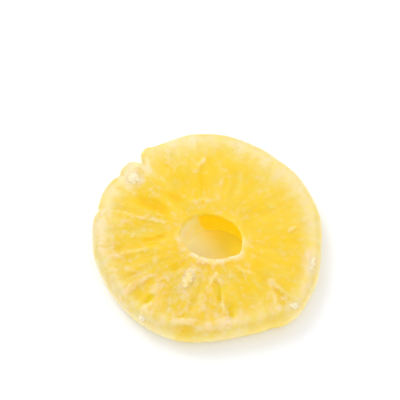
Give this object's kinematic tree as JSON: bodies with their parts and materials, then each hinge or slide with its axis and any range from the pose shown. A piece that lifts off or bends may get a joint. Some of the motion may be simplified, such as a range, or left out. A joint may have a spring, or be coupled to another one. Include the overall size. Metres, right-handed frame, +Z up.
{
  "type": "dried pineapple ring",
  "caption": "Sugared ring of dried pineapple: a round slice with an uneven side, fibres running out from an oval core hole, and sugar clumps on top.",
  "frame": {"origin": "centre of the slice's box, on its flat underside", "axes": "+Z up through the slice's thickness, towards the sugared face; the shallow notch in the side is at -X +Y"},
  "size_m": [0.074, 0.0746, 0.0098],
  "materials": {
    "candied_fruit": "moist candied fruit, yellow and translucent, with a white frosting of sugar"
  },
  "bodies": {
    "root": {"pineapple_ring": "candied_fruit"}
  },
  "joints": []
}
